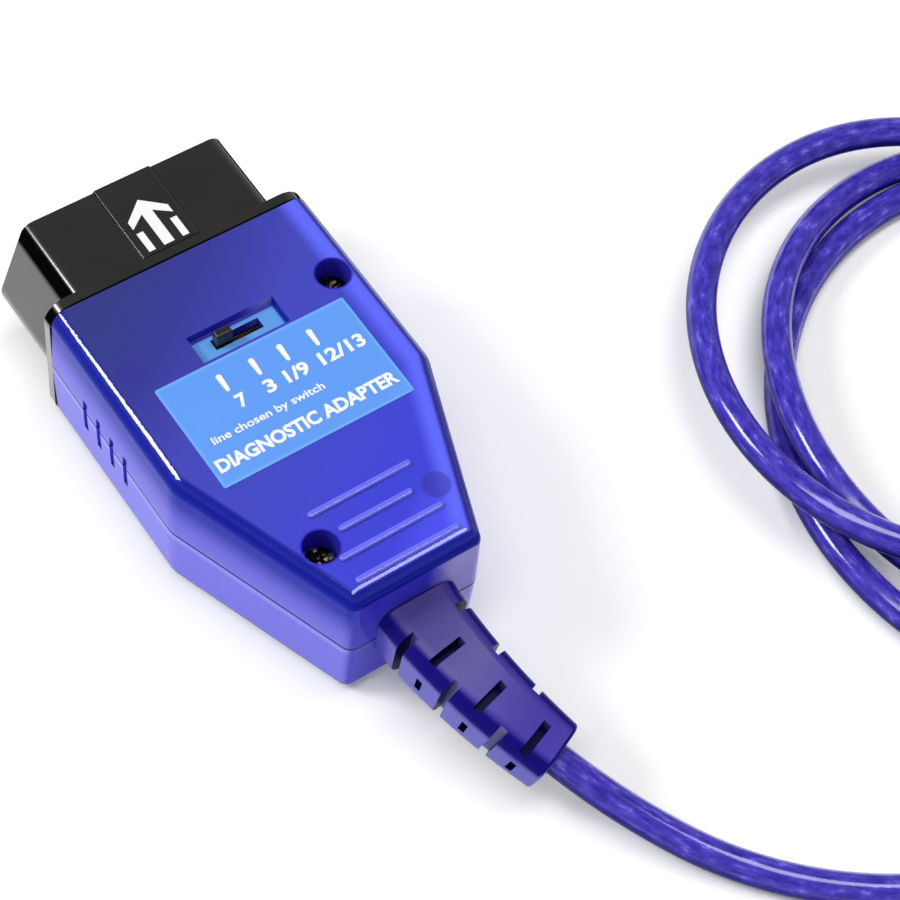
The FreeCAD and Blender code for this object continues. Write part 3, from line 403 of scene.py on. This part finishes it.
class Weave:
    """A material in the making, with short names for the nodes that it uses often."""

    def __init__(self, name):
        self.material, self.shader = new_material(name)
        self.nodes = self.material.node_tree.nodes
        self.links = self.material.node_tree.links
        self.place = self.nodes.new("ShaderNodeTexCoord")

    def link(self, value, socket):
        """Join a socket to another, or set it."""
        if isinstance(value, (int, float, tuple)):
            socket.default_value = value
        else:
            self.links.new(value, socket)

    def spot(self, scale, source="Object"):
        """A place on the piece, scaled along each axis."""
        mapping = self.nodes.new("ShaderNodeMapping")
        mapping.inputs["Scale"].default_value = scale
        self.links.new(self.place.outputs[source], mapping.inputs["Vector"])
        return mapping.outputs["Vector"]

    def axis(self, which, source=None):
        """One coordinate of a place, in metres, or of another vector."""
        split = self.nodes.new("ShaderNodeSeparateXYZ")
        self.links.new(source or self.place.outputs["Object"], split.inputs["Vector"])
        return split.outputs[which]

    def normal(self, which):
        """One coordinate of the way a face points."""
        shape = self.nodes.new("ShaderNodeNewGeometry")
        return self.axis(which, shape.outputs["Normal"])

    def math(self, kind, first, second=0.0):
        node = self.nodes.new("ShaderNodeMath")
        node.operation = kind
        self.link(first, node.inputs[0])
        self.link(second, node.inputs[1])
        return node.outputs["Value"]

    def times(self, first, second):
        return self.math("MULTIPLY", first, second)

    def plus(self, first, second):
        return self.math("ADD", first, second)

    def minus(self, first, second):
        return self.math("SUBTRACT", first, second)

    def larger(self, first, second):
        return self.math("MAXIMUM", first, second)

    def away(self, x, y, spot):
        """Distance on plan from a spot given in mm."""
        across = self.minus(x, spot[0] * MM)
        ahead = self.minus(y, spot[1] * MM)
        return self.math("SQRT", self.plus(self.times(across, across), self.times(ahead, ahead)))

    def between(self, value, low, high):
        """0 at low, 1 at high, smooth in between. Low may be the larger."""
        node = self.nodes.new("ShaderNodeMapRange")
        node.interpolation_type = "SMOOTHSTEP"
        self.link(value, node.inputs["Value"])
        node.inputs["From Min"].default_value = low
        node.inputs["From Max"].default_value = high
        return node.outputs["Result"]

    def between_mm(self, value, low, high):
        """The same, with low and high in mm."""
        return self.between(value, low * MM, high * MM)

    def noise(self, scale, detail=3.0, spot=None):
        """Soft clouds, scale of them to a metre."""
        node = self.nodes.new("ShaderNodeTexNoise")
        node.inputs["Scale"].default_value = scale
        node.inputs["Detail"].default_value = detail
        self.links.new(spot or self.place.outputs["Object"], node.inputs["Vector"])
        return node.outputs["Fac"]

    def mix(self, share, first, second):
        """The first colour, giving way to the second as share grows."""
        node = self.nodes.new("ShaderNodeMix")
        node.data_type = "RGBA"
        self.link(share, node.inputs["Factor"])
        for value, name in ((first, "A"), (second, "B")):
            socket = [item for item in node.inputs if item.name == name and item.type == "RGBA"][0]
            self.link((*value, 1.0) if isinstance(value, tuple) else value, socket)
        return [item for item in node.outputs if item.type == "RGBA"][0]

    def ramp(self, value, *stops):
        node = self.nodes.new("ShaderNodeValToRGB")
        self.link(value, node.inputs["Fac"])
        fill_ramp(node, *stops)
        return node.outputs["Color"]

    def bump(self, height, strength, distance):
        """Relief from a pattern, its full height in metres."""
        node = self.nodes.new("ShaderNodeBump")
        node.inputs["Strength"].default_value = strength
        node.inputs["Distance"].default_value = distance
        self.links.new(height, node.inputs["Height"])
        self.links.new(node.outputs["Normal"], self.shader.inputs["Normal"])

    def colour(self, value):
        self.link(value, self.shader.inputs["Base Color"])

    def roughness(self, pattern, spread, least):
        """Roughness from least to least plus spread, as the pattern goes from 0 to 1."""
        self.link(self.plus(self.times(pattern, spread), least), self.shader.inputs["Roughness"])

    def shine(self, share, coat, specular, least):
        """A clear coat and a specular level where share is 1; no coat and the least level where it is 0."""
        self.link(self.times(share, coat), self.shader.inputs["Coat Weight"])
        level = self.plus(self.times(share, specular - least), least)
        self.link(level, self.shader.inputs["Specular IOR Level"])


def moulded(name, base, varied, roughness, strength=0.12):
    """Moulded plastic: two close colours in soft clouds, and a fine grain."""
    grain = 900.0
    weave = Weave(name)
    weave.colour(weave.mix(weave.noise(140.0), base, varied))
    weave.roughness(weave.noise(grain), spread=0.1, least=roughness - 0.05)
    weave.bump(weave.noise(grain * 2, 2.0), strength, 0.00002)
    return weave.material


def metal(name, base, varied, roughness):
    """Plated or drawn metal with a slightly uneven polish."""
    grain = 700.0
    weave = Weave(name)
    weave.colour(weave.mix(weave.noise(260.0, 4.0), base, varied))
    weave.roughness(weave.noise(grain, 4.0), spread=0.2, least=roughness - 0.1)
    weave.bump(weave.noise(grain * 2, 3.0), 0.1, 0.00001)
    set_shader(weave.shader, Metallic=1.0)
    return weave.material


def screw_metal():
    """Blackened steel, with painted glints in spots of pale yellow metal."""
    weave = Weave("screw_steel")
    glint_spots = weave.noise(900.0, 2.0)
    # Painted glints: pale yellow spots on the black
    weave.colour(weave.ramp(
        glint_spots, (0.50, (0.008, 0.008, 0.006)), (0.56, (0.10, 0.09, 0.05)), (0.62, (0.75, 0.72, 0.45)),
    ))
    weave.roughness(weave.noise(500.0), spread=0.2, least=0.2)
    set_shader(weave.shader, Metallic=1.0)
    return weave.material


def case_top(weave, x, y, clouds):
    """Colour of the case's top: painted shade of the board under it, painted light through its clear
    right-hand edge, and painted shade of the posts.
    """
    along = weave.plus(weave.times(x, TOP_WAY[0]), weave.times(y, TOP_WAY[1]))
    along = weave.plus(along, weave.times(clouds, TOP_CLOUD_SHIFT * MM))
    tone = weave.ramp(weave.between_mm(along, *TOP_RUN), *TOP_SHADING)
    # Painted light along the top's right-hand edge, which runs in behind the kink
    narrowing = weave.larger(weave.minus(KINK_Y * MM, y), 0.0)
    out = weave.plus(x, weave.times(narrowing, SIDE_SLOPE))
    edge = weave.between_mm(out, BOARD_HALF_WIDTH - 0.5, BOARD_HALF_WIDTH + 2.0)
    tone = weave.mix(weave.times(edge, 0.92), tone, CLEAR_EDGE_LIGHT)
    # Painted shade of the closed posts, seen through the top
    for post in POSTS:
        inside = weave.between_mm(weave.away(x, y, post), POST_RADIUS + 0.2, POST_RADIUS - 0.3)
        tone = weave.mix(weave.times(inside, 0.55), tone, POST_SHADE)
    return tone


def case_wall(weave, x, z):
    """Colour of the case's walls by height, with painted light at the foot and just under the parting line,
    painted shade under the top edge, and a dark parting line. The rear wall has painted shade on its left
    and painted light on its right."""
    tone = weave.ramp(weave.times(z, 1 / (CASE_HEIGHT * MM)), *WALL_SHADING)
    rear = weave.between(weave.times(weave.normal("Y"), -1.0), 0.6, 0.95)
    rear_light_and_shade = weave.mix(weave.between_mm(x, 1.0, 6.0), REAR_SHADE, REAR_LIGHT)
    tone = weave.mix(weave.times(rear, 0.85), tone, rear_light_and_shade)
    clear, full = PARTING_FADES
    below = weave.between_mm(z, PARTING_HEIGHT - clear, PARTING_HEIGHT - full)
    above = weave.between_mm(z, PARTING_HEIGHT + clear, PARTING_HEIGHT + full)
    line = weave.times(below, above)
    return weave.mix(weave.times(line, 0.9), tone, PARTING_DARK)


def case_plastic():
    """Blue case plastic that looks clear, with light and shade painted in: walls, rounded edges and top each
    have their own painted light and shade, the bars on the top a painted highlight, and the screws' bores
    painted shade."""
    weave = Weave("case_blue")
    x = weave.axis("X")
    y = weave.axis("Y")
    z = weave.axis("Z")
    clouds = weave.noise(55.0, 2.0)
    level = weave.math("ABSOLUTE", weave.normal("Z"))
    skin = weave.mix(weave.between(level, *WALL_TO_EDGE), case_wall(weave, x, z), ROUNDED_EDGE_SHADE)
    skin = weave.mix(weave.between(level, *EDGE_TO_TOP), skin, case_top(weave, x, y, clouds))
    raised = weave.between_mm(z, CASE_HEIGHT + 0.02, CASE_HEIGHT + 0.15)
    skin = weave.mix(weave.times(raised, 0.85), skin, BAR_HIGHLIGHT)
    for screw in SCREWS:
        inside = weave.between_mm(weave.away(x, y, screw), SCREW_BORE + 0.15, SCREW_BORE)
        skin = weave.mix(inside, skin, BORE_SHADE)
    weave.colour(skin)
    weave.roughness(clouds, spread=0.06, least=0.07)
    weave.shine(weave.between(level, *GLOSS_SETS_IN), coat=0.5, specular=0.5, least=0.06)
    weave.bump(weave.noise(700.0, 3.0), 0.08, 0.00002)
    set_shader(weave.shader, Coat_Roughness=0.04)
    return weave.material


def cable_jacket():
    """Clear blue jacket over a braided screen: short bright dashes along the cable, darker between them, and
    painted shade on its underside.
    """
    weave = Weave("cable_blue")
    flecks = weave.noise(1.0, 2.0, weave.spot((14.0, 330.0, 1.0), "UV"))
    fine = weave.noise(1.0, 2.0, weave.spot((60.0, 1400.0, 1.0), "UV"))
    braid = weave.ramp(
        weave.plus(flecks, weave.times(fine, 0.25)), (0.45, (0.030, 0.018, 0.33)),
        (0.62, (0.055, 0.038, 0.46)), (0.74, (0.08, 0.06, 0.56)), (0.84, (0.19, 0.16, 0.74)),
    )
    upwards = weave.normal("Z")
    # Painted shade on the faces that look down
    weave.colour(weave.mix(weave.between(upwards, -0.1, 0.55), (0.008, 0.004, 0.16), braid))
    weave.roughness(fine, spread=0.1, least=0.10)
    weave.shine(weave.between(upwards, 0.25, 0.65), coat=0.35, specular=0.5, least=0.06)
    weave.bump(flecks, 0.15, 0.00008)
    set_shader(weave.shader, Coat_Roughness=0.05)
    return weave.material


def relief_plastic():
    """Softer blue plastic of the strain relief: greyer on top, clear blue at its sides, with painted shade on
    its rounded upper edges and in its gaps.
    """
    weave = Weave("relief_blue")
    clouds = weave.noise(180.0, 3.0)
    y = weave.axis("Y")
    top = weave.mix(weave.between_mm(y, *RELIEF_GREY), (0.048, 0.034, 0.20), (0.068, 0.048, 0.42))
    top = weave.mix(weave.times(clouds, 0.4), top, (0.055, 0.040, 0.30))
    side = weave.mix(clouds, (0.055, 0.048, 0.42), (0.13, 0.12, 0.55))
    level = weave.math("ABSOLUTE", weave.normal("Z"))
    # Painted shade on the rounded upper edges
    skin = weave.mix(weave.between(level, 0.12, 0.35), side, (0.008, 0.005, 0.17))
    skin = weave.mix(weave.between(level, 0.82, 0.96), skin, top)
    # Painted shade on the sides of the gaps and the floors of the windows
    crossways = weave.between(weave.math("ABSOLUTE", weave.normal("Y")), 0.6, 0.8)
    gap_side_shade = weave.times(crossways, weave.between_mm(y, *RELIEF_REAR_FACE))
    behind = weave.larger(weave.minus(RELIEF_BEND_Y * MM, y), 0.0)
    sunk = weave.times(weave.times(behind, behind), RELIEF_SINKS)
    height = weave.minus(weave.plus(weave.axis("Z"), sunk), RELIEF_MIDDLE * MM)
    window_floor_shade = weave.times(weave.between(level, 0.7, 0.9), weave.between_mm(height, *WINDOW_FLOOR))
    gap_shade = weave.larger(gap_side_shade, window_floor_shade)
    weave.colour(weave.mix(gap_shade, skin, (0.004, 0.002, 0.07)))
    weave.roughness(clouds, spread=0.15, least=0.22)
    rounded = weave.times(weave.between(level, 0.2, 0.4), weave.between(level, 0.97, 0.85))
    shaded_and_dull = weave.larger(gap_shade, rounded)
    weave.link(weave.minus(0.22, weave.times(shaded_and_dull, 0.18)), weave.shader.inputs["Specular IOR Level"])
    weave.bump(weave.noise(900.0, 2.0), 0.15, 0.00003)
    return weave.material


def housing_plastic():
    """Gloss black plastic with faint flow clouds, and painted shade on its rounded upper edges, near black
    and without gloss there.
    """
    weave = Weave("plug_black")
    tone = weave.mix(weave.noise(90.0, 3.0), (0.012, 0.012, 0.011), (0.026, 0.026, 0.022))
    upwards = weave.normal("Z")
    rounded = weave.times(weave.between(upwards, 0.36, 0.46), weave.between(upwards, 0.84, 0.74))
    edge = weave.times(weave.between_mm(weave.axis("Z"), *PLUG_SHADED_BAND), weave.between(upwards, 0.60, 0.45))
    shaded_and_dull = weave.larger(rounded, weave.times(edge, weave.between(upwards, 0.2, 0.3)))
    # Painted shade, near black, on the rounded upper edges and the top of the walls
    weave.colour(weave.mix(shaded_and_dull, tone, (0.002, 0.002, 0.002)))
    weave.roughness(weave.noise(500.0), spread=0.10, least=0.14)
    weave.shine(weave.minus(1.0, shaded_and_dull), coat=0.9, specular=0.5, least=0.0)
    weave.bump(weave.noise(1500.0, 2.0), 0.10, 0.00002)
    set_shader(weave.shader, Coat_Roughness=0.07)
    return weave.material


def label_film():
    """Printed sky-blue film with a paler cut edge."""
    weave = Weave("label_blue")
    low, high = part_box(LABEL_NODE)
    rims = []
    for which, index in (("X", 0), ("Y", 1)):
        middle = (low[index] + high[index]) / 2
        half = (high[index] - low[index]) / 2
        away = weave.math("ABSOLUTE", weave.minus(weave.axis(which), middle))
        rims.append(weave.between(away, half - LABEL_RIM[0] * MM, half - LABEL_RIM[1] * MM))
    film = weave.mix(weave.noise(120.0), (0.105, 0.31, 0.86), (0.115, 0.33, 0.90))
    weave.colour(weave.mix(weave.times(weave.larger(*rims), 0.45), film, (0.20, 0.50, 0.92)))
    weave.roughness(weave.noise(900.0), spread=0.1, least=0.35)
    return weave.material


def slot_film():
    """Film of the sticker round the slot, a little deeper than the label's."""
    return moulded("slot_film", (0.10, 0.30, 0.72), (0.12, 0.36, 0.80), 0.35)


def print_ink():
    """White ink and white moulded marks."""
    return moulded("white_print", (0.86, 0.88, 0.90), (0.92, 0.93, 0.95), 0.4, 0.02)


def board_lacquer():
    """Green solder lacquer over copper tracks."""
    weave = Weave("board_green")
    tracks = weave.nodes.new("ShaderNodeTexBrick")
    weave.links.new(weave.spot((420.0, 420.0, 420.0)), tracks.inputs["Vector"])
    tracks.inputs["Color1"].default_value = (0.010, 0.110, 0.045, 1)
    tracks.inputs["Color2"].default_value = (0.016, 0.135, 0.055, 1)
    tracks.inputs["Mortar"].default_value = (0.030, 0.210, 0.080, 1)
    tracks.inputs["Scale"].default_value = 1.0
    tracks.inputs["Mortar Size"].default_value = 0.08
    weave.colour(tracks.outputs["Color"])
    weave.roughness(weave.noise(300.0), spread=0.1, least=0.3)
    return weave.material


def wire_cover(name, tone):
    """Insulation of one conductor."""
    return moulded(name + "_cover", tone, tuple(value * WIRE_SHADE for value in tone), 0.35)


def node_finishes():
    """The material of every model node, by the node's name."""
    case_blue = case_plastic()
    chip_black = moulded("chip_black", (0.018, 0.018, 0.018), (0.03, 0.03, 0.03), 0.5)
    pin_metal = metal("pin_metal", (0.80, 0.72, 0.52), (0.86, 0.80, 0.62), 0.28)
    brass = metal("contact_brass", (0.82, 0.60, 0.26), (0.88, 0.70, 0.36), 0.3)
    finishes = {
        "upper_shell": case_blue,
        "lower_shell": case_blue,
        "case_screws": screw_metal(),
        "plug_housing": housing_plastic(),
        "upper_row_pins": pin_metal,
        "lower_row_pins": pin_metal,
        "circuit_board": board_lacquer(),
        "usb_serial_chip": chip_black,
        "comparator_chip": chip_black,
        "quartz_crystal": metal("can_aluminium", (0.72, 0.72, 0.74), (0.80, 0.80, 0.82), 0.3),
        "electrolytic_capacitor": metal("capacitor_can", (0.70, 0.70, 0.72), (0.78, 0.78, 0.80), 0.35),
        "chip_resistors": chip_black,
        "chip_capacitors": moulded("part_tan", (0.42, 0.28, 0.15), (0.52, 0.36, 0.20), 0.5),
        "transistors": chip_black,
        "diodes": chip_black,
        "switch_frame": metal("switch_steel", (0.70, 0.68, 0.64), (0.78, 0.77, 0.75), 0.3),
        "switch_base": moulded("switch_insulator", (0.20, 0.09, 0.03), (0.28, 0.13, 0.05), 0.6),
        "switch_terminals": brass,
        "switch_wiper": brass,
        "switch_slider": moulded("knob_black", (0.010, 0.010, 0.008), (0.020, 0.019, 0.014), 0.3),
        "main_label": label_film(),
        "slot_sticker": slot_film(),
        "strain_relief": relief_plastic(),
        "usb_plug_overmould": moulded("overmould_blue", (0.045, 0.033, 0.34), (0.062, 0.046, 0.44), 0.25),
        "usb_plug_shell": metal("usb_steel", (0.72, 0.72, 0.74), (0.80, 0.80, 0.82), 0.22),
        "usb_plug_insert": moulded("usb_insert_white", (0.78, 0.78, 0.77), (0.84, 0.84, 0.83), 0.4),
        "usb_plug_contacts": brass,
    }
    for name, tone in WIRE_TONES.items():
        finishes[name] = wire_cover(name, tone)
    return finishes


def dress(node, material):
    """Give a model node its material."""
    target = nodes[node]
    target.data.materials.clear()
    target.data.materials.append(material)


# Print

def flat_text(words, left, right, base, height, thickening):
    """Words as a flat mesh, stretched between left and right, the tallest letters as high as given."""
    data = bpy.data.curves.new("words", "FONT")
    data.body = words
    data.offset = thickening
    data.resolution_u = 3
    words_object = bpy.data.objects.new("words", data)
    scene.collection.objects.link(words_object)
    mesh = evaluated_mesh(words_object, "words")
    bpy.data.objects.remove(words_object)
    xs = [vertex.co.x for vertex in mesh.vertices]
    ys = [vertex.co.y for vertex in mesh.vertices]
    tall = height / (max(ys) - max(min(ys), 0.0))
    wide = (right - left) / (max(xs) - min(xs))
    for vertex in mesh.vertices:
        vertex.co = Vector((left + (vertex.co.x - min(xs)) * wide, base + vertex.co.y * tall, 0.0))
    return mesh


def merge_flat(name, meshes, height):
    """Put flat meshes together at one height, facing up."""
    work = bmesh.new()
    for mesh in meshes:
        work.from_mesh(mesh)
        bpy.data.meshes.remove(mesh)
    for vertex in work.verts:
        vertex.co.z = height
    bmesh.ops.remove_doubles(work, verts=work.verts, dist=PRINT_MERGE)
    bmesh.ops.triangulate(work, faces=work.faces)
    for face in work.faces:
        if face.normal.z < 0:
            face.normal_flip()
    merged = bpy.data.meshes.new(name)
    work.to_mesh(merged)
    work.free()
    piece = bpy.data.objects.new(name, merged)
    scene.collection.objects.link(piece)
    return piece


def label_print():
    """The numbers and the two rows of words on the label."""
    low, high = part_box(LABEL_NODE)
    rows = [(*number, NUMBER_BASE, NUMBER_HEIGHT, NUMBER_THICKENING) for number in NUMBERS]
    meshes = []
    for words, left, right, base, height, thickening in (*rows, SMALL_ROW, LARGE_ROW):
        ends = (low[0] + left * MM, low[0] + right * MM)
        meshes.append(flat_text(words, *ends, low[1] + base * MM, height * MM, thickening))
    return merge_flat("label_print", meshes, high[2] + PRINT_LIFT)


def tick_tree():
    """A row of ticks, one at each point that the tree is given. A tick is a disc whose lower half is pulled
    out by a length, and drawn in as it goes. Returns the tree and its sockets' identifiers."""
    tree = bpy.data.node_groups.new("label_ticks", "GeometryNodeTree")
    add = tree.nodes.new
    join = tree.links.new

    def figure(kind, second=None):
        node = add("ShaderNodeMath")
        node.operation = kind
        if second is not None:
            node.inputs[1].default_value = second
        return node

    sockets = {}
    tree.interface.new_socket("Geometry", in_out="INPUT", socket_type="NodeSocketGeometry")
    for name, value in (("Length", (TICK_LENGTH - TICK_WIDTH) * MM), ("Width", TICK_WIDTH * MM)):
        socket = tree.interface.new_socket(name, in_out="INPUT", socket_type="NodeSocketFloat")
        socket.default_value = value
        sockets[name] = socket.identifier
    paint = tree.interface.new_socket("Material", in_out="INPUT", socket_type="NodeSocketMaterial")
    sockets["Material"] = paint.identifier
    tree.interface.new_socket("Geometry", in_out="OUTPUT", socket_type="NodeSocketGeometry")
    start = add("NodeGroupInput")
    end = add("NodeGroupOutput")

    disc = add("GeometryNodeMeshCircle")
    disc.fill_type = "NGON"
    disc.inputs["Vertices"].default_value = TICK_SIDES
    radius = figure("MULTIPLY", 0.5)
    join(start.outputs["Width"], radius.inputs[0])
    join(radius.outputs[0], disc.inputs["Radius"])

    place = add("GeometryNodeInputPosition")
    split = add("ShaderNodeSeparateXYZ")
    lower_half = figure("LESS_THAN", 0.0)
    downwards = figure("MULTIPLY", -1.0)
    pull = figure("MULTIPLY")
    inwards = figure("MULTIPLY", -TICK_NARROWING)
    draw_in = figure("MULTIPLY")
    offset = add("ShaderNodeCombineXYZ")
    move = add("GeometryNodeSetPosition")
    join(place.outputs["Position"], split.inputs[0])
    join(split.outputs["Y"], lower_half.inputs[0])
    join(start.outputs["Length"], downwards.inputs[0])
    join(downwards.outputs[0], pull.inputs[0])
    join(lower_half.outputs[0], pull.inputs[1])
    join(split.outputs["X"], inwards.inputs[0])
    join(inwards.outputs[0], draw_in.inputs[0])
    join(lower_half.outputs[0], draw_in.inputs[1])
    join(draw_in.outputs[0], offset.inputs["X"])
    join(pull.outputs[0], offset.inputs["Y"])
    join(disc.outputs["Mesh"], move.inputs["Geometry"])
    join(offset.outputs[0], move.inputs["Offset"])

    copies = add("GeometryNodeInstanceOnPoints")
    real = add("GeometryNodeRealizeInstances")
    painted = add("GeometryNodeSetMaterial")
    join(start.outputs["Geometry"], copies.inputs["Points"])
    join(move.outputs["Geometry"], copies.inputs["Instance"])
    join(copies.outputs["Instances"], real.inputs["Geometry"])
    join(real.outputs["Geometry"], painted.inputs["Geometry"])
    join(start.outputs["Material"], painted.inputs["Material"])
    join(painted.outputs["Geometry"], end.inputs["Geometry"])
    return tree, sockets


def from_tree(name, points, tree, values):
    """Run a tree on a set of points and keep the result as a plain mesh."""
    cloud = bpy.data.meshes.new(name + "_points")
    cloud.from_pydata(points, [], [])
    carrier = bpy.data.objects.new(name + "_points", cloud)
    scene.collection.objects.link(carrier)
    modifier = carrier.modifiers.new("pieces", "NODES")
    modifier.node_group = tree
    for identifier, value in values.items():
        modifier[identifier] = value
    mesh = evaluated_mesh(carrier, name)
    bpy.data.objects.remove(carrier)
    piece = bpy.data.objects.new(name, mesh)
    scene.collection.objects.link(piece)
    return piece


def label_ticks(paint):
    """One tick for each position of the switch."""
    low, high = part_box(LABEL_NODE)
    height = high[2] + PRINT_LIFT
    points = [(low[0] + x * MM, low[1] + TICK_TOP * MM, height) for x in TICK_SPOTS]
    tree, sockets = tick_tree()
    values = {
        sockets["Length"]: (TICK_LENGTH - TICK_WIDTH) * MM,
        sockets["Width"]: TICK_WIDTH * MM,
        sockets["Material"]: paint,
    }
    return from_tree("label_ticks", points, tree, values)


def plug_arrow():
    """A plain arrow and two bars on the plug's raised pad, pointing the way it goes in."""
    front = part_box("plug_housing")[1][1]
    meshes = []
    for outline in ARROW_OUTLINES:
        mesh = bpy.data.meshes.new("outline")
        corners = [(x * MM, front + y * MM, 0) for x, y in outline]
        mesh.from_pydata(corners, [], [list(range(len(corners)))])
        meshes.append(mesh)
    return merge_flat("plug_arrow", meshes, PAD_TOP * MM + PRINT_LIFT)


def keep(piece, material=None):
    """Let a piece ride on the reader's body, and say whose finish it takes."""
    if material:
        piece.data.materials.clear()
        piece.data.materials.append(material)
    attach(piece, BODY)


place_camera()
studio()
for node, material in node_finishes().items():
    dress(node, material)

route = route_curve()
path = line_points(route)
bpy.data.objects.remove(route)
cable = tube_mesh("usb_cable", path, CABLE_DIAMETER / 2)
keep(cable, cable_jacket())
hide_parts("cable_lead", "cable_coil", "cable_tail")

white_print = print_ink()
keep(label_print(), white_print)
keep(label_ticks(white_print))
keep(plug_arrow(), white_print)
